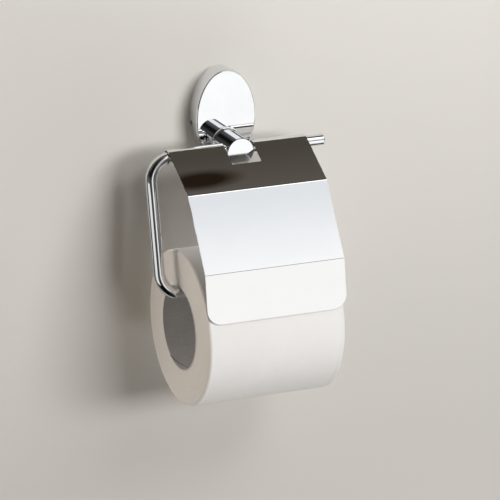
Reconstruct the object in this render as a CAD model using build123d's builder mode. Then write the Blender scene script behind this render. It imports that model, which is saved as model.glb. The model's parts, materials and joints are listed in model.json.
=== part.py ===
"""Wall-mounted toilet paper holder: an oval rosette, a post, a bent rod arm, a folded sheet cover and a paper roll.

Millimetres. X runs along the bars, +Z is up, the wall is the plane Y = 0 and the holder stands out towards -Y.
The origin is the middle of the two wall screw holes, on the back face of the wall bracket.
"""

from build123d import *
from math import acos, asin, cos, degrees, radians, sin, sqrt
import os

# ---- driving dimensions ----
# arm rod: a straight top bar, a bend, a leg that leans forward, a bend, and a straight lower bar
BAR_D = 8.0
BAR_OVERHANG = 14.1  # free end of the top bar past the cover's right edge
LEG_TO_COVER = 13.0  # leg's axis to the cover's left edge
LEG_LENGTH = 93.8  # top bar axis to lower bar axis
LEG_TILT = 13.1  # degrees forward of straight down
TOP_BEND_R = 16.0  # to the rod's centreline
LOWER_BEND_R = 15.5
LOWER_BAR_OVERHANG = 10.7  # free end of the lower bar past the roll
ROD_END_CHAMFER = 0.6

# rosette: an egg outline made of two half ellipses, cast with a hollow back
ROSETTE_HALF_W = 22.1
ROSETTE_RISE = 35.0  # from the widest line to the top
ROSETTE_DROP = 31.0  # from the widest line to the bottom
ROSETTE_DEPTH = 15.1
ROSETTE_WALL = 2.5
ROSETTE_FACE_T = 3.0
ROSETTE_EDGE_R = 0.9
POST_DROP = 16.7  # widest line of the rosette to the post's axis

# post
POST_D = 19.4
POST_NOSE = 7.0  # flat front end, ahead of the top bar's axis
POST_FOOT_R = 1.3  # cove at the foot of the post
POST_FOOT_LIP = 0.4
POST_EDGE_CHAMFER = 0.35

# wall bracket: a plate with two side flanges bent forward
BRACKET_T = 2.0
BRACKET_FLANGE_H = 20.0
BRACKET_FLANGE_DEPTH = 9.0
BRACKET_CORNER_R = 4.0
BRACKET_END_ROOM = 12.0  # plate's end to the rosette's lowest point
WALL_HOLE_D = 4.5
WALL_HOLE_SPACING = 28.0

# fasteners
GRUB_D = 4.0
GRUB_OUT = 5.2  # height of the side screws' axis off the wall
GRUB_DROP = 3.0  # below the rosette's widest line
GRUB_SUNK = 0.5  # how far the grub screw sits below the rosette's side
GRUB_PAD_W = 9.0
GRUB_PAD_T = 3.0  # thickening of the wall that the screw is tapped into
SOCKET_AF = 2.0
SOCKET_DEPTH = 2.0
POST_SCREW_D = 5.0
POST_SCREW_HEAD_D = 8.6
POST_SCREW_HEAD_H = 3.2
POST_SOCKET_AF = 3.0
WASHER_D = 11.0
WASHER_T = 1.0
SET_SCREW_D = 4.0

# cover: one sheet curled round the top bar and folded into three flat panels
COVER_W = 103.0
COVER_LEFT = 52.1  # post axis to the cover's left edge
COVER_T = 0.7
CURL_SWEEP = 285.0  # degrees of curl round the bar
UPPER_PANELS = ((41.2, 31.0), (56.2, 57.5))  # length, and degrees below level
LAST_PANEL_LENGTH = 34.6  # its slope follows from resting on the roll
FOLD_R = 1.7  # outside of each fold
COVER_CORNER_R = 10.0
NOTCH_DEPTH = 17.9  # along the first panel, from where the curl starts

# paper roll
CORE_HOLE_D = 58.6
CORE_T = 1.0
ROLL_D = 109.2
ROLL_W = 101.0
ROLL_INSET = 0.4  # roll's left face inside the cover's left edge

# clearances
HINGE_CLEARANCE = 0.6  # cover's curl round the bar
BORE_CLEARANCE = 0.05  # bar in the post, radial
SCREW_TIP_ROOM = 2.9  # post screw's tip short of the top bar
THREAD_CLEARANCE = 0.05  # screw in its tapped hole, radial
SCREW_HOLE_CLEARANCE = 0.3  # screw through a plain hole, radial
NOTCH_CLEARANCE = 1.2  # each side of the post
CORE_HANG_GAP = 0.5  # roll's core above the lower bar
ROLL_WALL_GAP = 0.66
COVER_REST_GAP = 0.42  # cover's lower edge off the paper
BRACKET_SIDE_CLEARANCE = 3.6  # bracket to the rosette's tapped pads
CUT_OVERRUN = 1.0

# ---- places that follow ----
BAR_R = BAR_D / 2
LEG_FORWARD = LEG_LENGTH * sin(radians(LEG_TILT))
BAR_STANDOFF = ROLL_D / 2 + ROLL_WALL_GAP - LEG_FORWARD  # wall to the top bar's axis
POST_Z = -POST_DROP
BAR_Y = -BAR_STANDOFF
POST_R = POST_D / 2
POST_SCREW_GRIP = BAR_STANDOFF - ROSETTE_DEPTH - BAR_R - SCREW_TIP_ROOM  # thread length inside the post
ROSETTE_CAVITY_DEPTH = ROSETTE_DEPTH - ROSETTE_FACE_T
BRACKET_W = 2 * (ROSETTE_HALF_W - ROSETTE_WALL - GRUB_PAD_T - BRACKET_SIDE_CLEARANCE)
BRACKET_H = 2 * (ROSETTE_DROP - BRACKET_END_ROOM)
GRUB_TIP_X = BRACKET_W / 2
LEG_OFFSET = COVER_LEFT + LEG_TO_COVER
BAR_RIGHT_END = COVER_W - COVER_LEFT + BAR_OVERHANG
ROLL_LEFT = COVER_LEFT - ROLL_INSET
LOWER_BAR_RIGHT_END = ROLL_W - ROLL_LEFT + LOWER_BAR_OVERHANG
LEG_DIRECTION = Vector(0, -sin(radians(LEG_TILT)), -cos(radians(LEG_TILT)))
ARM_PLANE = Plane(origin=(0, BAR_Y, POST_Z), x_dir=(1, 0, 0), z_dir=Vector(1, 0, 0).cross(-LEG_DIRECTION))
LOWER_BAR = ARM_PLANE.origin + LEG_DIRECTION * LEG_LENGTH
ROLL_AXIS = (LOWER_BAR.Y, LOWER_BAR.Z + BAR_R + CORE_HANG_GAP - CORE_HOLE_D / 2)
CORE_OUTER_R = CORE_HOLE_D / 2 + CORE_T
CURL_R = BAR_R + HINGE_CLEARANCE + COVER_T  # outside of the curl
COVER_EDGE_REACH = ROLL_D / 2 + COVER_REST_GAP + COVER_T  # roll's axis to the outside of the cover's edge


def egg(grow=0.0):
    """The rosette's outline, grown or shrunk all round, as a sketch on XY."""
    half = ROSETTE_HALF_W + grow
    with BuildSketch() as outline:
        with BuildLine():
            EllipticalCenterArc((0, 0), half, ROSETTE_RISE + grow, start_angle=0, arc_size=180)
            EllipticalCenterArc((0, 0), half, ROSETTE_DROP + grow, start_angle=180, arc_size=180)
        make_face()
    return outline.sketch


def resting_end(start, length, centre, reach):
    """Where a panel of that length from start ends, in front of a circle that its edge or its middle rests on."""
    across = centre - start
    distance = across.length
    if length > sqrt(distance**2 - reach**2):
        swing = degrees(asin(reach / distance))
    else:
        swing = degrees(acos((length**2 - reach**2 + distance**2) / (2 * length * distance)))
    return start + across.normalized().rotate(Axis.Z, -swing) * length


def finish(piece, name):
    """Labels a finished piece and writes it as parts/NAME.step."""
    piece.part.label = name
    export_step(piece.part, f"parts/{name}.step")


os.makedirs("parts", exist_ok=True)

# ---- wall bracket ----
with BuildPart() as wall_bracket:
    with BuildSketch(Plane.XZ):
        RectangleRounded(BRACKET_W, BRACKET_H, BRACKET_CORNER_R)
    extrude(amount=BRACKET_T)
    with BuildSketch(Plane.XZ.offset(BRACKET_T)):
        with Locations(((BRACKET_W - BRACKET_T) / 2, 0), ((BRACKET_T - BRACKET_W) / 2, 0)):
            Rectangle(BRACKET_T, BRACKET_FLANGE_H)
    extrude(amount=BRACKET_FLANGE_DEPTH - BRACKET_T)
    with BuildSketch(Plane.XZ):
        with GridLocations(0, WALL_HOLE_SPACING, 1, 2):
            Circle(WALL_HOLE_D / 2)
    extrude(amount=BRACKET_T, mode=Mode.SUBTRACT)
finish(wall_bracket, "wall_bracket")

# ---- rosette ----
rosette_outline = egg()
cavity_outline = egg(-ROSETTE_WALL)
with BuildPart() as rosette:
    with BuildSketch(Plane.XZ):
        add(rosette_outline)
    extrude(amount=ROSETTE_DEPTH)
    fillet(rosette.faces().sort_by(Axis.Y)[0].edges(), radius=ROSETTE_EDGE_R)
    with BuildSketch(Plane.XZ):
        add(cavity_outline)
        pad_middle = ROSETTE_HALF_W - (ROSETTE_WALL + GRUB_PAD_T) / 2
        with Locations((pad_middle, -GRUB_DROP), (-pad_middle, -GRUB_DROP)):
            Rectangle(ROSETTE_WALL + GRUB_PAD_T, GRUB_PAD_W, mode=Mode.SUBTRACT)
    extrude(amount=ROSETTE_CAVITY_DEPTH, mode=Mode.SUBTRACT)
    with BuildSketch(Plane.YZ):
        with Locations((-GRUB_OUT, -GRUB_DROP)):
            Circle(GRUB_D / 2 + THREAD_CLEARANCE)
    extrude(amount=ROSETTE_HALF_W + CUT_OVERRUN, both=True, mode=Mode.SUBTRACT)
    with BuildSketch(Plane.XZ):
        with Locations((0, POST_Z)):
            Circle(POST_SCREW_D / 2 + SCREW_HOLE_CLEARANCE)
    extrude(amount=ROSETTE_DEPTH, mode=Mode.SUBTRACT)
finish(rosette, "rosette")

# ---- grub screws that hold the rosette on the bracket ----
GRUB_HEAD_X = ROSETTE_HALF_W - GRUB_SUNK
with BuildPart() as rosette_grub_screws:
    for side in (1, -1):
        head = Plane(origin=(side * GRUB_HEAD_X, -GRUB_OUT, -GRUB_DROP), z_dir=(-side, 0, 0))
        with BuildSketch(head):
            Circle(GRUB_D / 2)
        extrude(amount=GRUB_HEAD_X - GRUB_TIP_X)
        with BuildSketch(head):
            RegularPolygon(SOCKET_AF / 2, 6, major_radius=False)
        extrude(amount=SOCKET_DEPTH, mode=Mode.SUBTRACT)
finish(rosette_grub_screws, "rosette_grub_screws")

# ---- post ----
with BuildPart() as post:
    with BuildSketch(Plane.XZ.offset(ROSETTE_DEPTH)):
        with Locations((0, POST_Z)):
            Circle(POST_R + POST_FOOT_R + POST_FOOT_LIP)
    extrude(amount=POST_FOOT_LIP)
    with BuildSketch(Plane.XZ.offset(ROSETTE_DEPTH)):
        with Locations((0, POST_Z)):
            Circle(POST_R)
    extrude(amount=BAR_STANDOFF + POST_NOSE - ROSETTE_DEPTH)
    foot = post.edges().filter_by(GeomType.CIRCLE).filter_by(lambda e: abs(e.radius - POST_R) < 1e-3)
    fillet(foot.sort_by(Axis.Y)[-1], radius=POST_FOOT_R)
    chamfer(post.faces().sort_by(Axis.Y)[0].edges(), length=POST_EDGE_CHAMFER)
    with BuildSketch(Plane.YZ):
        with Locations((BAR_Y, POST_Z)):
            Circle(BAR_R + BORE_CLEARANCE)
    extrude(amount=POST_R + CUT_OVERRUN, both=True, mode=Mode.SUBTRACT)
    with BuildSketch(Plane.XZ.offset(ROSETTE_DEPTH)):
        with Locations((0, POST_Z)):
            Circle(POST_SCREW_D / 2 + THREAD_CLEARANCE)
    extrude(amount=POST_SCREW_GRIP + CUT_OVERRUN, mode=Mode.SUBTRACT)
    with BuildSketch(Plane.XY.offset(POST_Z)):
        with Locations((0, BAR_Y)):
            Circle(SET_SCREW_D / 2 + THREAD_CLEARANCE)
    extrude(amount=-POST_R - CUT_OVERRUN, mode=Mode.SUBTRACT)
finish(post, "post")

# ---- washer and screw that pull the post onto the rosette, inside the hollow back ----
with BuildPart() as post_washer:
    with BuildSketch(Plane.XZ.offset(ROSETTE_CAVITY_DEPTH)):
        with Locations((0, POST_Z)):
            Circle(WASHER_D / 2)
            Circle(POST_SCREW_D / 2 + SCREW_HOLE_CLEARANCE, mode=Mode.SUBTRACT)
    extrude(amount=-WASHER_T)
finish(post_washer, "post_washer")

SCREW_SEAT = ROSETTE_CAVITY_DEPTH - WASHER_T
with BuildPart() as post_screw:
    with BuildSketch(Plane.XZ.offset(SCREW_SEAT)):
        with Locations((0, POST_Z)):
            Circle(POST_SCREW_D / 2)
    extrude(amount=WASHER_T + ROSETTE_FACE_T + POST_SCREW_GRIP)
    with BuildSketch(Plane.XZ.offset(SCREW_SEAT)):
        with Locations((0, POST_Z)):
            Circle(POST_SCREW_HEAD_D / 2)
    extrude(amount=-POST_SCREW_HEAD_H)
    with BuildSketch(Plane.XZ.offset(SCREW_SEAT - POST_SCREW_HEAD_H)):
        with Locations((0, POST_Z)):
            RegularPolygon(POST_SOCKET_AF / 2, 6, major_radius=False)
    extrude(amount=SOCKET_DEPTH, mode=Mode.SUBTRACT)
finish(post_screw, "post_screw")

# ---- arm rod ----
with BuildPart() as arm_rod:
    with BuildLine(ARM_PLANE) as route:
        FilletPolyline(
            (BAR_RIGHT_END, 0),
            (-LEG_OFFSET, 0),
            (-LEG_OFFSET, -LEG_LENGTH),
            (LOWER_BAR_RIGHT_END, -LEG_LENGTH),
            radius=(TOP_BEND_R, LOWER_BEND_R),
        )
    with BuildSketch(Plane(origin=route.wires()[0] @ 0, z_dir=route.wires()[0] % 0)):
        Circle(BAR_R)
    sweep()
    rod_ends = arm_rod.faces().filter_by(Axis.X).edges()
    chamfer(rod_ends, length=ROD_END_CHAMFER)
finish(arm_rod, "arm_rod")

# ---- set screw under the post that locks the top bar ----
with BuildPart() as arm_set_screw:
    with BuildSketch(Plane.XY.offset(POST_Z - BAR_R)):
        with Locations((0, BAR_Y)):
            Circle(SET_SCREW_D / 2)
    extrude(amount=-(POST_R - BAR_R - GRUB_SUNK))
    with BuildSketch(Plane.XY.offset(POST_Z - POST_R + GRUB_SUNK)):
        with Locations((0, BAR_Y)):
            RegularPolygon(SOCKET_AF / 2, 6, major_radius=False)
    extrude(amount=SOCKET_DEPTH, mode=Mode.SUBTRACT)
finish(arm_set_screw, "arm_set_screw")

# ---- cover ----
first_slope = UPPER_PANELS[0][1]
curl_exit = 90 + first_slope  # where the first panel leaves the curl, as an angle round the bar
corner = Vector(BAR_Y, POST_Z) + Vector(CURL_R, 0).rotate(Axis.Z, curl_exit)
panel_corners = [corner]
for length, slope in UPPER_PANELS:
    corner = corner - Vector(length, 0).rotate(Axis.Z, slope)
    panel_corners.append(corner)
panel_corners.append(resting_end(corner, LAST_PANEL_LENGTH, Vector(*ROLL_AXIS), COVER_EDGE_REACH))

with BuildPart() as cover:
    with BuildSketch(Plane.YZ.offset(-COVER_LEFT)):
        with BuildLine():
            CenterArc((BAR_Y, POST_Z), CURL_R, start_angle=curl_exit - CURL_SWEEP, arc_size=CURL_SWEEP)
            FilletPolyline(*panel_corners, radius=FOLD_R)
            offset(amount=COVER_T, side=Side.LEFT)
        make_face()
    extrude(amount=COVER_W)
    panel_normal = Vector(0, -sin(radians(first_slope)), cos(radians(first_slope)))
    first_panel = Plane(
        origin=(0, panel_corners[0].X, panel_corners[0].Y), x_dir=(1, 0, 0), z_dir=panel_normal
    )
    with BuildSketch(first_panel):
        notch_reach = NOTCH_DEPTH + CURL_R + CUT_OVERRUN
        with Locations((0, notch_reach / 2 - NOTCH_DEPTH)):
            Rectangle(2 * (POST_R + NOTCH_CLEARANCE), notch_reach)
    extrude(amount=2 * CURL_R + CUT_OVERRUN, both=True, mode=Mode.SUBTRACT)
    thickness_edges = cover.edges().filter_by(lambda e: abs(e.length - COVER_T) < 1e-3)
    fillet(thickness_edges.group_by(Axis.Z)[0], radius=COVER_CORNER_R)
finish(cover, "cover")

# ---- cardboard core and paper roll ----
with BuildPart() as cardboard_core:
    with BuildSketch(Plane.YZ.offset(-ROLL_LEFT)):
        with Locations(ROLL_AXIS):
            Circle(CORE_OUTER_R)
            Circle(CORE_HOLE_D / 2, mode=Mode.SUBTRACT)
    extrude(amount=ROLL_W)
finish(cardboard_core, "cardboard_core")

with BuildPart() as paper_roll:
    with BuildSketch(Plane.YZ.offset(-ROLL_LEFT)):
        with Locations(ROLL_AXIS):
            Circle(ROLL_D / 2)
            Circle(CORE_OUTER_R, mode=Mode.SUBTRACT)
    extrude(amount=ROLL_W)
finish(paper_roll, "paper_roll")

print("roll axis (y, z):", [round(v, 4) for v in ROLL_AXIS])
print("top bar's axis (y, z):", [round(v, 4) for v in (BAR_Y, POST_Z)])
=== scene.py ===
"""Looks of a wall-mounted toilet paper holder: chrome, steel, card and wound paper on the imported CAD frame.

Metres. X runs along the bars, +Z is up, the wall is the plane y = 0 and the holder stands out towards -Y.
"""

import json
from math import cos, pi, radians, sin

import bpy
from mathutils import Matrix, Vector, noise


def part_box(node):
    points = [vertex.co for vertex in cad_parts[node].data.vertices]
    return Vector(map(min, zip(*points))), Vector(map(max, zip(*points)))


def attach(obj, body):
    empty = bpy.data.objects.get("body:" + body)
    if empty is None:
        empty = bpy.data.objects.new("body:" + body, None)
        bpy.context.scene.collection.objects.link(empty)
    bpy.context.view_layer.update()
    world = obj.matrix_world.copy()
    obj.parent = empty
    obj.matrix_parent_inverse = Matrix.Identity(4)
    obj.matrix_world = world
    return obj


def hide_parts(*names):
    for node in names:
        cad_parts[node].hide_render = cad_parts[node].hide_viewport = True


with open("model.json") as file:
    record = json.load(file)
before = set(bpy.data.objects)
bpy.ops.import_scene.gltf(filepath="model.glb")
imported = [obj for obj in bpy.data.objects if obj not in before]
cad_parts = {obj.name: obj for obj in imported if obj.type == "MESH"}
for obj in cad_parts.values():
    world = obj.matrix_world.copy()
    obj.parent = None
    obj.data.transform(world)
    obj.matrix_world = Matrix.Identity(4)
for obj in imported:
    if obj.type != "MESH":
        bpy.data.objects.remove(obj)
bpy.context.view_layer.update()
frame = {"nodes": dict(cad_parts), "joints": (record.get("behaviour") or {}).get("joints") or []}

MM = 0.001
HINGE = Vector(next(j["pos_m"] for j in frame["joints"] if j["name"] == "cover_hinge"))
ROLL_AXIS = Vector(next(j["pos_m"] for j in frame["joints"] if j["name"] == "roll_spin"))

# ---- camera ----
CAMERA_YAW = radians(23.58)  # the camera stands to the left of the holder
CAMERA_PITCH = radians(18.14)  # and above it
CAMERA_TILT = radians(0.36)  # about its line of sight
CAMERA_DISTANCE = 2.693
AIM_RIGHT = 0.0095  # what the camera aims at, from the cover's hinge
AIM_DOWN = 0.0692
LENS = 281.9
SENSOR = 36.0
CAMERA_REACH = 50

# ---- paper roll ----
ROLL_RIM_R = 1.8 * MM  # soft rounding of the roll's outer edges
ROLL_SKIN = 0.03 * MM  # room kept inside the CAD solid
ROLL_STEP = 0.35 * MM  # height of the step at the free end of the paper
FREE_END_ANGLE = radians(250)  # round the axis, from straight out of the wall, over the top
WOUND_RINGS = 46  # raised turns modelled on each end face
RING_HEIGHT = 0.22 * MM
END_WANDER = 0.30 * MM  # slow unevenness of the end faces
SIDE_WANDER = 0.16 * MM
PERFORATION_ANGLE = radians(35)  # round the axis, from straight out of the wall, over the top
SHEETS_AROUND = 3
ROLL_SEGMENTS = 288
SIDE_ROWS = 40
END_ROWS = 130
SIDE_LUMPS = (22, 1.4)  # how closely the side's lumps follow each other: along the roll, and round it
END_LUMPS = (30, 40)  # the same for an end's slow unevenness: along the roll, and across the face
TURN_LUMPS = (900, 0.8)  # the same for the height of the raised turns: outwards, and round the axis
PERFORATION_HALF_WIDTH = 0.0035  # of a sheet's length
PERFORATION_DASH = 1.6 * MM  # half the distance from one dash to the next
DASH_EDGES = (0.5 * MM, 0.7 * MM)  # distances from the middle of a gap, between which a dash fades in

# ---- card ----
SEAM_PITCH = 62.0 * MM
SEAM_WIDTH = 0.9 * MM

# ---- stage ----
WALL_HALF_WIDTH = 0.42
WALL_TOP = 0.28
WALL_BOTTOM = -0.60
WALL_OPENING = 0.96  # share of the rosette's outline that the wall leaves open
FLOOR_HALF_WIDTH = 4.0
FLOOR_GLOW = 0.72  # the floor's own light, as a share of the backdrop's
BACKDROP = (0.76, 0.75, 0.73)
FILL = (0.80, 0.71, 0.61)  # light from all round on matt surfaces
FILL_STRENGTH = 0.17
REFLECTION_TINT = (1.20, 1.195, 1.175)
PAINTED_SHADE_TOP = 0.10  # heights between which painted shade darkens the wall a little, standing in for the lamps' falloff downwards
PAINTED_SHADE_BOTTOM = -0.26
CEILING_HEIGHT = 0.16  # dark card that the first panel faces
DARK_PATCH = (0.037, -0.030, CEILING_HEIGHT)  # middle of a darker patch on it
GRADE_TOP = 0.342  # heights between which the graded card brightens
GRADE_BOTTOM = 0.290
STRIP_BOTTOM = GRADE_TOP + 0.03  # heights between which its strong top strip sets in
STRIP_TOP = GRADE_TOP + 0.05
LOW_BAND = (-120, 8)  # degrees round the studio, between which reflections are bright near eye level alone
HIGH_BAND = (-140, 18)  # outside these they are bright higher up and lower down as well


# ---------------------------------------------------------------- shader graphs
class Graph:
    """Adds shader nodes to a material or a world, and joins them."""

    def __init__(self, owner):
        owner.use_nodes = True
        self.nodes = owner.node_tree.nodes
        self.links = owner.node_tree.links

    def feed(self, socket, value):
        """Joins a node's output to the socket, or sets the socket to a plain value."""
        if isinstance(value, bpy.types.NodeSocket):
            self.links.new(value, socket)
        else:
            socket.default_value = value

    def add(self, kind, inputs=(), **settings):
        """A new node with these settings, and its inputs joined or set."""
        node = self.nodes.new(kind)
        for key, value in settings.items():
            setattr(node, key, value)
        for key, value in dict(inputs).items():
            self.feed(node.inputs[key], value)
        return node

    def math(self, operation, first, second=0.0):
        """The result of one step of arithmetic."""
        return self.add("ShaderNodeMath", {0: first, 1: second}, operation=operation).outputs[0]

    def remap(self, value, source, target):
        """Maps the source range onto the target range, clamped at both ends."""
        inputs = {0: value, 1: source[0], 2: source[1], 3: target[0], 4: target[1]}
        return self.add("ShaderNodeMapRange", inputs).outputs[0]

    def mix(self, factor, first, second, blend="MIX"):
        """Blends two colours."""
        node = self.add("ShaderNodeMix", data_type="RGBA", blend_type=blend)
        for index, value in ((0, factor), (6, first), (7, second)):
            self.feed(node.inputs[index], value)
        return node.outputs[2]

    def ramp(self, value, stops):
        """A soft grey ramp through (position, grey) stops."""
        node = self.add("ShaderNodeValToRGB", {0: value})
        node.color_ramp.interpolation = "EASE"
        elements = node.color_ramp.elements
        for index, (position, grey) in enumerate(stops):
            element = elements[index] if index < 2 else elements.new(position)
            element.position = position
            element.color = (grey, grey, grey, 1)
        return node.outputs[0]

    def object_coordinates(self, scale=(1, 1, 1), centre=(0, 0, 0)):
        """Object coordinates about a centre, stretched along each axis."""
        source = self.add("ShaderNodeTexCoord").outputs["Object"]
        shifted = self.add("ShaderNodeVectorMath", {0: source, 1: centre}, operation="SUBTRACT").outputs[0]
        return self.add("ShaderNodeVectorMath", {0: shifted, 1: scale}, operation="MULTIPLY").outputs[0]

    def noise(self, vector, scale, detail, roughness=0.55):
        """Cloudy noise, about 0.5 on average."""
        inputs = {"Vector": vector, "Scale": scale, "Detail": detail, "Roughness": roughness}
        return self.add("ShaderNodeTexNoise", inputs).outputs[0]

    def bump(self, height, strength, distance, normal=None):
        """A normal tilted by the height, on top of another one where that is given."""
        inputs = {"Strength": strength, "Distance": distance, "Height": height}
        if normal is not None:
            inputs["Normal"] = normal
        return self.add("ShaderNodeBump", inputs).outputs[0]


def rgb(red, green, blue):
    """An opaque colour."""
    return (red, green, blue, 1.0)


def start_material(name):
    """A new material, its graph and its principled shader."""
    material = bpy.data.materials.new(name)
    graph = Graph(material)
    return material, graph, graph.nodes["Principled BSDF"]


def dress(node, material):
    """Puts the material in a CAD node's slot."""
    slots = frame["nodes"][node].data.materials
    slots.clear()
    slots.append(material)


# ---------------------------------------------------------------- materials
def chrome(name, wipe_stretch, light=(0.83, 0.84, 0.86), dull=(0.78, 0.79, 0.81)):
    """Bright plate: faint handling smudges, fine wipe marks one way, and a trace of waviness."""
    material, graph, shader = start_material(name)
    smudge = graph.noise(graph.object_coordinates(), scale=46.0, detail=4.0)
    wipes = graph.noise(graph.object_coordinates(wipe_stretch), scale=190.0, detail=5.0)
    haze = graph.remap(smudge, (0.42, 0.78), (0.012, 0.050))
    marks = graph.remap(wipes, (0.50, 0.80), (0.0, 0.016))
    graph.feed(shader.inputs["Roughness"], graph.math("ADD", haze, marks))
    tone = graph.remap(smudge, (0.35, 0.80), (0.0, 1.0))
    graph.feed(shader.inputs["Base Color"], graph.mix(tone, rgb(*light), rgb(*dull)))
    waviness = graph.noise(graph.object_coordinates(), scale=30.0, detail=1.0)
    soft = graph.bump(waviness, 0.10, 0.02 * MM)
    graph.feed(shader.inputs["Normal"], graph.bump(wipes, 0.04, 0.01 * MM, soft))
    shader.inputs["Metallic"].default_value = 1.0
    return material


def zinc(name):
    """Zinc-plated pressed steel: a faint spangle, dull grey, with rolling marks."""
    material, graph, shader = start_material(name)
    cells = graph.add(
        "ShaderNodeTexVoronoi", {"Vector": graph.object_coordinates(), "Scale": 420.0}
    ).outputs["Color"]
    spangle = graph.add("ShaderNodeRGBToBW", {0: cells}).outputs[0]
    rolling = graph.noise(graph.object_coordinates((1, 1, 14)), scale=160.0, detail=5.0)
    tone = graph.math("ADD", graph.math("MULTIPLY", spangle, 0.5), graph.math("MULTIPLY", rolling, 0.5))
    colour = graph.mix(tone, rgb(0.50, 0.51, 0.53), rgb(0.72, 0.73, 0.75))
    graph.feed(shader.inputs["Base Color"], colour)
    graph.feed(shader.inputs["Roughness"], graph.remap(rolling, (0.3, 0.75), (0.28, 0.46)))
    graph.feed(shader.inputs["Normal"], graph.bump(rolling, 0.25, 0.03 * MM))
    shader.inputs["Metallic"].default_value = 1.0
    return material


def steel(name):
    """Plain steel screws: turned marks and a slightly dark, oily film in patches."""
    material, graph, shader = start_material(name)
    turned = graph.noise(graph.object_coordinates((9, 9, 9)), scale=240.0, detail=5.0)
    film = graph.noise(graph.object_coordinates(), scale=300.0, detail=3.0)
    patches = graph.remap(film, (0.35, 0.75), (0.0, 1.0))
    graph.feed(shader.inputs["Base Color"], graph.mix(patches, rgb(0.60, 0.61, 0.63), rgb(0.40, 0.41, 0.43)))
    graph.feed(shader.inputs["Roughness"], graph.remap(turned, (0.3, 0.8), (0.22, 0.40)))
    graph.feed(shader.inputs["Normal"], graph.bump(turned, 0.3, 0.02 * MM))
    shader.inputs["Metallic"].default_value = 1.0
    return material


def card(name):
    """Spiral-wound pale grey card: the winding's seam, a fibrous surface and mottled colour."""
    material, graph, shader = start_material(name)
    placed = graph.object_coordinates(centre=(0, ROLL_AXIS.y, ROLL_AXIS.z))
    axes = graph.add("ShaderNodeSeparateXYZ", {0: placed}).outputs
    turn = graph.math("MULTIPLY", graph.math("ARCTAN2", axes[2], axes[1]), SEAM_PITCH / (2 * pi))
    along = graph.math("PINGPONG", graph.math("ADD", axes[0], turn), SEAM_PITCH / 2)
    seam = graph.remap(along, (0.0, SEAM_WIDTH), (1.0, 0.0))
    fibres = graph.noise(graph.object_coordinates((0.35, 2.4, 2.4)), scale=520.0, detail=6.0, roughness=0.65)
    mottle = graph.noise(graph.object_coordinates(), scale=70.0, detail=3.0)
    blend = graph.math("ADD", graph.math("MULTIPLY", fibres, 0.65), graph.math("MULTIPLY", mottle, 0.35))
    tone = graph.remap(blend, (0.3, 0.7), (0.0, 1.0))
    plain = graph.mix(tone, rgb(0.58, 0.575, 0.58), rgb(0.77, 0.765, 0.77))
    graph.feed(shader.inputs["Base Color"], graph.mix(seam, plain, rgb(0.30, 0.28, 0.265)))
    graph.feed(shader.inputs["Roughness"], graph.remap(fibres, (0.3, 0.8), (0.82, 0.96)))
    height = graph.math("SUBTRACT", fibres, graph.math("MULTIPLY", seam, 1.6))
    graph.feed(shader.inputs["Normal"], graph.bump(height, 0.55, 0.12 * MM))
    return material


def paper_side(name):
    """The outer turn of tissue: fibres, faint embossed dimples and perforation lines across it, with painted
    shade in their slits.
    """
    material, graph, shader = start_material(name)
    placed = graph.object_coordinates(centre=(0, ROLL_AXIS.y, ROLL_AXIS.z))
    axes = graph.add("ShaderNodeSeparateXYZ", {0: placed}).outputs
    angle = graph.math("ARCTAN2", axes[2], graph.math("MULTIPLY", axes[1], -1.0))
    past_line = graph.math("SUBTRACT", angle, PERFORATION_ANGLE)
    sheets = graph.math("MULTIPLY", past_line, SHEETS_AROUND / (2 * pi))
    across = graph.math("PINGPONG", sheets, 0.5)
    line = graph.remap(across, (0.0, PERFORATION_HALF_WIDTH), (1.0, 0.0))
    dashes = graph.remap(graph.math("PINGPONG", axes[0], PERFORATION_DASH), DASH_EDGES, (0.0, 1.0))
    slit_shade_and_depth = graph.math("MULTIPLY", line, dashes)
    fibres = graph.noise(graph.object_coordinates((0.6, 1.6, 1.6)), scale=900.0, detail=6.0, roughness=0.7)
    soft = graph.noise(graph.object_coordinates(), scale=60.0, detail=3.0)
    dimples = graph.add(
        "ShaderNodeTexVoronoi", {"Vector": graph.object_coordinates(), "Scale": 620.0}, feature="SMOOTH_F1"
    ).outputs["Distance"]
    shade = graph.math("ADD", graph.math("MULTIPLY", fibres, 0.5), graph.math("MULTIPLY", soft, 0.5))
    tone = graph.remap(shade, (0.35, 0.65), (0.0, 1.0))
    white = graph.mix(tone, rgb(0.845, 0.838, 0.822), rgb(0.875, 0.87, 0.857))
    # painted shade in the perforation slits: the dashes are coloured darker grey
    graph.feed(shader.inputs["Base Color"], graph.mix(slit_shade_and_depth, white, rgb(0.62, 0.61, 0.59)))
    graph.feed(shader.inputs["Roughness"], graph.remap(fibres, (0.3, 0.8), (0.86, 0.98)))
    relief = graph.math("ADD", graph.math("MULTIPLY", fibres, 0.5), graph.math("MULTIPLY", dimples, 0.7))
    graph.feed(shader.inputs["Normal"], graph.bump(graph.math("SUBTRACT", relief, slit_shade_and_depth), 0.35, 0.10 * MM))
    shader.inputs["Sheen Weight"].default_value = 0.12
    shader.inputs["Sheen Roughness"].default_value = 0.6
    return material


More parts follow.
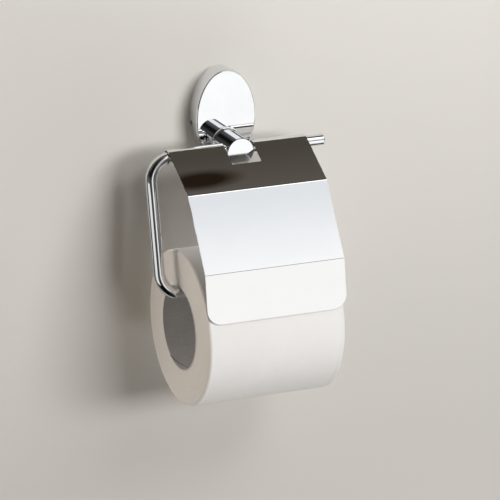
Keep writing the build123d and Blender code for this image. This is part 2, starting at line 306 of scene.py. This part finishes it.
def paper_end(name):
    """The cut ends of the turns: uneven concentric lines, and the fuzz of a sawn roll."""
    material, graph, shader = start_material(name)
    placed = graph.object_coordinates((0, 1, 1), (0, ROLL_AXIS.y, ROLL_AXIS.z))
    radius = graph.add("ShaderNodeVectorMath", {0: placed}, operation="LENGTH").outputs["Value"]
    wander = graph.noise(graph.object_coordinates(), scale=45.0, detail=2.0)
    wound = graph.math("ADD", radius, graph.math("MULTIPLY", wander, 0.5 * MM))
    place = graph.add("ShaderNodeCombineXYZ", {0: wound}).outputs[0]
    turns = graph.noise(place, scale=1500.0, detail=3.0, roughness=0.7)
    fuzz = graph.noise(graph.object_coordinates(), scale=1100.0, detail=4.0, roughness=0.7)
    shade = graph.math("ADD", graph.math("MULTIPLY", turns, 0.65), graph.math("MULTIPLY", fuzz, 0.35))
    tone = graph.remap(shade, (0.3, 0.7), (0.0, 1.0))
    colour = graph.mix(tone, rgb(0.72, 0.70, 0.67), rgb(0.87, 0.86, 0.84))
    graph.feed(shader.inputs["Base Color"], colour)
    graph.feed(shader.inputs["Roughness"], graph.remap(fuzz, (0.3, 0.8), (0.88, 0.98)))
    graph.feed(shader.inputs["Normal"], graph.bump(shade, 0.5, 0.18 * MM))
    shader.inputs["Sheen Weight"].default_value = 0.10
    return material


# ---------------------------------------------------------------- pieces
def wound_point(x, radius, angle):
    """A point round the roll's axis."""
    return Vector((x, ROLL_AXIS.y - radius * cos(angle), ROLL_AXIS.z + radius * sin(angle)))


def wound_profile(left, right, inner, outer):
    """The roll's section as (part, x, radius) points, from the bore's left end round to it again."""
    points = []
    for row in range(END_ROWS + 1):
        radius = inner + (outer - inner) * row / END_ROWS
        points.append(("left", left, radius))
    for row in range(1, SIDE_ROWS):
        points.append(("side", left + (right - left) * row / SIDE_ROWS, outer))
    for row in range(END_ROWS, -1, -1):
        radius = inner + (outer - inner) * row / END_ROWS
        points.append(("right", right, radius))
    return points


def rim_drop(room):
    """How far a face lies back at that distance from the roll's outer edge: a quarter round."""
    if room >= ROLL_RIM_R:
        return 0.0
    return ROLL_RIM_R - (ROLL_RIM_R**2 - (ROLL_RIM_R - room) ** 2) ** 0.5


def side_drop(x, edge_room, angle):
    """How far the side lies in from the full radius: slow lumps and the rounded rim."""
    along, around = SIDE_LUMPS
    lump = noise.noise(Vector((x * along, cos(angle) * around, sin(angle) * around)))
    return rim_drop(edge_room) + SIDE_WANDER * (0.5 + 0.5 * lump)


def end_drop(x, radius, share, edge_room, angle):
    """How far an end face lies in from its flat: raised turns, slow unevenness and the rounded rim."""
    ring = 0.5 + 0.5 * sin(2 * pi * WOUND_RINGS * share - angle)
    along, across = END_LUMPS
    slow = noise.noise(Vector((cos(angle) * radius * across, sin(angle) * radius * across, x * along)))
    outwards, around = TURN_LUMPS
    uneven = noise.noise(Vector((radius * outwards, cos(angle) * around, sin(angle) * around)))
    return RING_HEIGHT * ring * (0.5 + 0.5 * uneven) + END_WANDER * (0.5 + 0.5 * slow) + rim_drop(edge_room)


def wound_vertices(profile, left, right, inner, outer):
    """The profile turned round the axis, with the paper's spiral step at its free end."""
    vertices = []
    for step in range(ROLL_SEGMENTS):
        angle = 2 * pi * step / ROLL_SEGMENTS
        turned = ((angle - FREE_END_ANGLE) % (2 * pi)) / (2 * pi)
        for part, x, radius in profile:
            share = (radius - inner) / (outer - inner)
            wound_radius = radius - ROLL_STEP * turned * share
            if part == "side":
                wound_radius -= side_drop(x, min(x - left, right - x), angle)
                vertices.append(wound_point(x, wound_radius, angle))
                continue
            drop = end_drop(x, radius, share, outer - radius, angle)
            vertices.append(wound_point(x + drop if part == "left" else x - drop, wound_radius, angle))
    return vertices


def wound_faces(profile):
    """Quads between neighbouring profiles, with their materials: 0 on the side, 1 on the ends and bore."""
    faces, finishes = [], []
    count = len(profile)
    for step in range(ROLL_SEGMENTS):
        here = step * count
        there = (step + 1) % ROLL_SEGMENTS * count
        for row in range(count):
            after = (row + 1) % count
            faces.append((here + row, here + after, there + after, there + row))
            finishes.append(0 if "side" in (profile[row][0], profile[after][0]) else 1)
    return faces, finishes


def wound_roll(name):
    """The paper: soft outer edges, raised turns on both end faces, and a free end low at the back."""
    low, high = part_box("paper_roll")
    left, right = low.x + ROLL_SKIN, high.x - ROLL_SKIN
    outer = (high.z - low.z) / 2 - ROLL_SKIN
    core_low, core_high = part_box("cardboard_core")
    inner = (core_high.z - core_low.z) / 2 + ROLL_SKIN
    profile = wound_profile(left, right, inner, outer)
    faces, finishes = wound_faces(profile)
    mesh = bpy.data.meshes.new(name)
    mesh.from_pydata(wound_vertices(profile, left, right, inner, outer), [], faces)
    mesh.materials.append(paper_side("tissue_side"))
    mesh.materials.append(paper_end("tissue_end"))
    mesh.polygons.foreach_set("material_index", finishes)
    mesh.polygons.foreach_set("use_smooth", [True] * len(faces))
    mesh.update()
    piece = bpy.data.objects.new(name, mesh)
    bpy.context.scene.collection.objects.link(piece)
    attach(piece, "roll")
    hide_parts("paper_roll")


def dress_holder():
    """Finishes of the CAD nodes that stay as they are."""
    dress("rosette", chrome("plate_on_casting", (1, 1, 8)))
    dress("post", chrome("plate_on_brass", (1, 8, 1)))
    dress("arm_rod", chrome("plate_on_rod", (0.5, 6, 6)))
    mirror = chrome("mirror_sheet", (0.6, 5, 5), light=(0.848, 0.848, 0.852), dull=(0.832, 0.832, 0.836))
    dress("cover", mirror)
    dress("wall_bracket", zinc("zinc_plate"))
    screw = steel("screw_finish")
    for node in ("rosette_grub_screws", "post_washer", "post_screw", "arm_set_screw"):
        dress(node, screw)
    dress("cardboard_core", card("spiral_card"))


# ---------------------------------------------------------------- stage
def flat_sheet(name, corners, material):
    """A stage rectangle from its four corners."""
    mesh = bpy.data.meshes.new(name)
    mesh.from_pydata(corners, [], [(0, 1, 2, 3)])
    mesh.materials.append(material)
    sheet = bpy.data.objects.new(name, mesh)
    bpy.context.scene.collection.objects.link(sheet)
    return sheet


def inside_rosette(graph):
    """1 where the wall lies behind the rosette, inside its outline of two half ellipses, and 0 elsewhere."""
    low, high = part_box("rosette")
    axes = graph.add("ShaderNodeSeparateXYZ", {0: graph.object_coordinates()}).outputs
    across = graph.math("DIVIDE", axes[0], high.x)
    above = graph.math("MAXIMUM", graph.math("DIVIDE", axes[2], high.z), 0.0)
    below = graph.math("MAXIMUM", graph.math("DIVIDE", axes[2], low.z), 0.0)
    place = graph.add("ShaderNodeCombineXYZ", {0: across, 1: above, 2: below}).outputs[0]
    share = graph.add("ShaderNodeVectorMath", {0: place}, operation="LENGTH").outputs["Value"]
    return graph.math("LESS_THAN", share, WALL_OPENING)


def build_wall():
    """A pale matt wall, with painted shade that darkens it a little downwards for the lamps' falloff.

    It is clear from behind and open behind the rosette, so that the hollow back shows. It stops no lamp.
    """
    material, graph, shader = start_material("wall_paint")
    height = graph.add("ShaderNodeSeparateXYZ", {0: graph.object_coordinates()}).outputs[2]
    # painted shade: the wall's colour darkens downwards where the light falls off
    down = graph.remap(height, (PAINTED_SHADE_TOP, PAINTED_SHADE_BOTTOM), (0.0, 1.0))
    paint_and_painted_shade = graph.mix(down, rgb(0.725, 0.71, 0.672), rgb(0.61, 0.592, 0.56))
    graph.feed(shader.inputs["Base Color"], paint_and_painted_shade)
    shader.inputs["Roughness"].default_value = 1.0
    clear = graph.add("ShaderNodeBsdfTransparent")
    behind = graph.add("ShaderNodeNewGeometry").outputs["Backfacing"]
    unseen = graph.math("MAXIMUM", behind, inside_rosette(graph))
    sides = graph.add("ShaderNodeMixShader", {0: unseen, 1: shader.outputs[0], 2: clear.outputs[0]})
    graph.feed(graph.nodes["Material Output"].inputs["Surface"], sides.outputs[0])
    w = WALL_HALF_WIDTH
    corners = [(-w, 0, WALL_BOTTOM), (w, 0, WALL_BOTTOM), (w, 0, WALL_TOP), (-w, 0, WALL_TOP)]
    wall = flat_sheet("wall", corners, material)
    wall.visible_shadow = False


def build_floor():
    """A floor far below, kept pale and even by its own light. It neither shades nor lights the holder."""
    material, _, shader = start_material("floor_paint")
    shader.inputs["Base Color"].default_value = rgb(0.12, 0.118, 0.114)
    shader.inputs["Roughness"].default_value = 1.0
    shader.inputs["Emission Color"].default_value = rgb(*BACKDROP)
    shader.inputs["Emission Strength"].default_value = FLOOR_GLOW
    f = FLOOR_HALF_WIDTH
    corners = [(-f, -f, WALL_BOTTOM), (f, -f, WALL_BOTTOM), (f, f, WALL_BOTTOM), (-f, f, WALL_BOTTOM)]
    floor = flat_sheet("floor", corners, material)
    floor.visible_glossy = False
    floor.visible_diffuse = False
    floor.visible_shadow = False


def glow(name, corners, colour_of):
    """A studio card that only reflections see. colour_of(graph, coordinates) gives its light."""
    material = bpy.data.materials.new(name)
    graph = Graph(material)
    graph.nodes.clear()
    place = graph.add("ShaderNodeTexCoord").outputs["Object"]
    light = graph.add("ShaderNodeEmission", {"Color": colour_of(graph, place)})
    graph.add("ShaderNodeOutputMaterial", {"Surface": light.outputs[0]})
    sheet = flat_sheet(name, corners, material)
    sheet.visible_camera = False
    sheet.visible_diffuse = False
    sheet.visible_shadow = False
    sheet.visible_transmission = False


def dark_ceiling(graph, place):
    """Dim brown-grey that lightens towards the front, with a long soft darker patch."""
    depth = graph.add("ShaderNodeSeparateXYZ", {0: place}).outputs[1]
    lit = graph.remap(depth, (-0.012, -0.040), (0.0, 1.0))
    plain = graph.mix(lit, rgb(0.074, 0.066, 0.052), rgb(0.108, 0.096, 0.080))
    offset = graph.add("ShaderNodeVectorMath", {0: place, 1: DARK_PATCH}, operation="SUBTRACT").outputs[0]
    stretch = {0: offset, 1: (1.0, 4.5, 1.0)}
    squashed = graph.add("ShaderNodeVectorMath", stretch, operation="MULTIPLY").outputs[0]
    distance = graph.add("ShaderNodeVectorMath", {0: squashed}, operation="LENGTH").outputs["Value"]
    patch = graph.remap(distance, (0.018, 0.038), (1.0, 0.0))
    return graph.mix(patch, plain, rgb(0.020, 0.012, 0.008))


def graded_light(graph, place):
    """A strong strip at the top, then cool light grey that brightens downwards."""
    height = graph.add("ShaderNodeSeparateXYZ", {0: place}).outputs[2]
    lit = graph.remap(height, (GRADE_TOP, GRADE_BOTTOM), (0.0, 1.0))
    graded = graph.mix(lit, rgb(0.88, 0.915, 0.945), rgb(1.14, 1.14, 1.15))
    strip = graph.remap(height, (STRIP_BOTTOM, STRIP_TOP), (0.0, 1.0))
    return graph.mix(strip, graded, rgb(2.4, 2.36, 2.28))


def dim_flag(graph, place):
    """Mid grey, a little darker at the left."""
    across = graph.add("ShaderNodeSeparateXYZ", {0: place}).outputs[0]
    rightwards = graph.remap(across, (0.0, 0.5), (0.0, 1.0))
    return graph.mix(rightwards, rgb(0.10, 0.10, 0.10), rgb(0.14, 0.14, 0.14))


def soft_white(graph, place):
    """White that fades a little downwards."""
    height = graph.add("ShaderNodeSeparateXYZ", {0: place}).outputs[2]
    downwards = graph.remap(height, (-0.02, -0.30), (0.0, 1.0))
    return graph.mix(downwards, rgb(0.92, 0.92, 0.91), rgb(0.80, 0.80, 0.79))


def standing_card(name, foot, reach, rise, colour_of):
    """A card from one lower corner, its way along the foot and its way up."""
    glow(name, [foot, foot + rise, foot + reach + rise, foot + reach], colour_of)


def build_cards():
    """What the mirror panels face: a dark ceiling, a graded light in front of it, and a dim flag lower down.

    Dim cards beside the holder and a white one to its left outline the rosette and the rod.
    """
    z = CEILING_HEIGHT
    back, front, left, right = -0.005, -0.115, -0.35, 0.5
    corners = [(left, front, z), (left, back, z), (right, back, z), (right, front, z)]
    glow("ceiling_card", corners, dark_ceiling)
    foot, rise = Vector((0.08, -0.62, 0.12)), Vector((0, 0.32, 0.40))
    standing_card("graded_card", foot, Vector((0.67, 0, 0)), rise, graded_light)
    foot, rise = Vector((0.12, -0.60, 0.0)), Vector((0, 0, 0.24))
    standing_card("flag_card", foot, Vector((0.30, 0, 0)), rise, dim_flag)
    for name, start, end in (("left_card", -0.60, -0.125), ("right_card", 0.12, 0.60)):
        foot, rise = Vector((start, -0.004, -0.30)), Vector((0, 0, 0.44))
        standing_card(name, foot, Vector((end - start, 0, 0)), rise, dim_flag)
    foot, rise = Vector((-0.34, -0.30, -0.32)), Vector((0, 0, 0.305))
    standing_card("strip_card", foot, Vector((-0.10, 0.27, 0)), rise, soft_white)


def share_of_turn(angle):
    """Where an angle in degrees lies between -180 and 180, as 0 to 1."""
    return (angle + 180) / 360


def studio_bands(graph):
    """What reflections see: bright and dark bands, as in a studio with open and closed sides."""
    way = graph.add("ShaderNodeTexCoord").outputs["Generated"]
    axes = graph.add("ShaderNodeSeparateXYZ", {0: way}).outputs
    turn = graph.math("ARCTAN2", axes[0], graph.math("MULTIPLY", axes[1], -1.0))
    azimuth = graph.math("ADD", graph.math("DIVIDE", turn, 2 * pi), 0.5)
    elevation = graph.math("ADD", graph.math("DIVIDE", graph.math("ARCSINE", axes[2]), pi), 0.5)
    sides = [(-180, 0.80), (-150, 0.85), (-128, 0.12), (-60, 0.10), (-37, 0.05), (-13, 0.05)]
    sides += [(-2, 0.60), (8, 0.97), (54, 1.0), (67, 0.14), (125, 0.12), (148, 0.85), (180, 0.80)]
    round_about = graph.ramp(azimuth, [(share_of_turn(angle), grey) for angle, grey in sides])
    low_heights = [(-90, 0.05), (-16, 0.06), (-9, 0.95), (10, 0.95), (22, 0.12), (90, 0.06)]
    high_heights = [(-90, 0.05), (-62, 0.10), (-36, 0.95), (-16, 1.0)]
    high_heights += [(2, 0.93), (52, 0.96), (62, 0.10), (90, 0.07)]
    low_bands, high_bands = (
        graph.ramp(elevation, [((angle + 90) / 180, grey) for angle, grey in heights])
        for heights in (low_heights, high_heights)
    )
    rear_side, right_side = (
        graph.remap(azimuth, (share_of_turn(low), share_of_turn(high)), (0.0, 1.0))
        for low, high in zip(LOW_BAND, HIGH_BAND)
    )
    up_and_down = graph.mix(graph.math("MAXIMUM", right_side, rear_side), low_bands, high_bands)
    bands = graph.mix(1.0, round_about, up_and_down, "MULTIPLY")
    return graph.mix(1.0, bands, rgb(*REFLECTION_TINT), "MULTIPLY")


def build_world():
    """Bands for reflections, a weak even light for matt surfaces and a pale backdrop."""
    world = bpy.data.worlds.new("studio")
    bpy.context.scene.world = world
    graph = Graph(world)
    graph.nodes.clear()
    parts = ((studio_bands(graph), 1.0), (rgb(*FILL), FILL_STRENGTH), (rgb(*BACKDROP), 1.0))
    reflected, plain, backdrop = (
        graph.add("ShaderNodeBackground", {"Color": colour, "Strength": strength}).outputs[0]
        for colour, strength in parts
    )
    rays = graph.add("ShaderNodeLightPath").outputs
    lit = graph.add("ShaderNodeMixShader", {0: rays["Is Glossy Ray"], 1: plain, 2: reflected}).outputs[0]
    seen = graph.add("ShaderNodeMixShader", {0: rays["Is Camera Ray"], 1: lit, 2: backdrop}).outputs[0]
    graph.add("ShaderNodeOutputWorld", {"Surface": seen})


def outward(azimuth, elevation):
    """The way out from the wall at these angles. Azimuth is from straight out, towards +X."""
    return Vector((sin(azimuth) * cos(elevation), -cos(azimuth) * cos(elevation), sin(elevation)))


def soft_light(name, azimuth, elevation, distance, width, height, power, colour=(1, 1, 1)):
    """An area light that faces the holder's middle, from these angles in degrees."""
    way = outward(radians(azimuth), radians(elevation))
    target = (HINGE + ROLL_AXIS) / 2
    data = bpy.data.lights.new(name, "AREA")
    data.shape = "RECTANGLE"
    data.size = width
    data.size_y = height
    data.energy = power
    data.color = colour
    lamp = bpy.data.objects.new(name, data)
    lamp.location = target + way * distance
    lamp.rotation_euler = (-way).to_track_quat("-Z", "Y").to_euler()
    lamp.visible_glossy = False
    bpy.context.scene.collection.objects.link(lamp)


def build_camera():
    """The camera, left of the holder and above it."""
    look = -outward(-CAMERA_YAW, CAMERA_PITCH)
    right = Vector((cos(CAMERA_YAW), -sin(CAMERA_YAW), 0))
    up = right.cross(look)
    place = HINGE - look * CAMERA_DISTANCE + right * AIM_RIGHT - up * AIM_DOWN
    across = right * cos(CAMERA_TILT) + up * sin(CAMERA_TILT)
    upright = up * cos(CAMERA_TILT) - right * sin(CAMERA_TILT)
    data = bpy.data.cameras.new("camera")
    data.lens = LENS
    data.sensor_width = SENSOR
    data.clip_end = CAMERA_REACH
    camera = bpy.data.objects.new("camera", data)
    camera.matrix_world = Matrix(
        (
            (across.x, upright.x, -look.x, place.x),
            (across.y, upright.y, -look.y, place.y),
            (across.z, upright.z, -look.z, place.z),
            (0, 0, 0, 1),
        )
    )
    bpy.context.scene.collection.objects.link(camera)
    bpy.context.scene.camera = camera


bpy.context.scene.view_settings.view_transform = "Standard"
build_camera()
dress_holder()
wound_roll("wound_paper")
build_wall()
build_floor()
build_cards()
build_world()
soft_light("key", azimuth=24, elevation=13, distance=3.2, width=1.8, height=0.8, power=59)
soft_light("top", azimuth=22, elevation=40, distance=0.9, width=0.5, height=0.3, power=2.7)
soft_light("low", azimuth=42, elevation=-55, distance=1.6, width=0.8, height=0.6, power=6.0)
soft_light("rear", azimuth=172, elevation=22, distance=2.4, width=1.6, height=1.2, power=22)
warm = (1.0, 0.90, 0.80)
soft_light("left", azimuth=-88, elevation=8, distance=1.5, width=0.8, height=0.8, power=7.6, colour=warm)
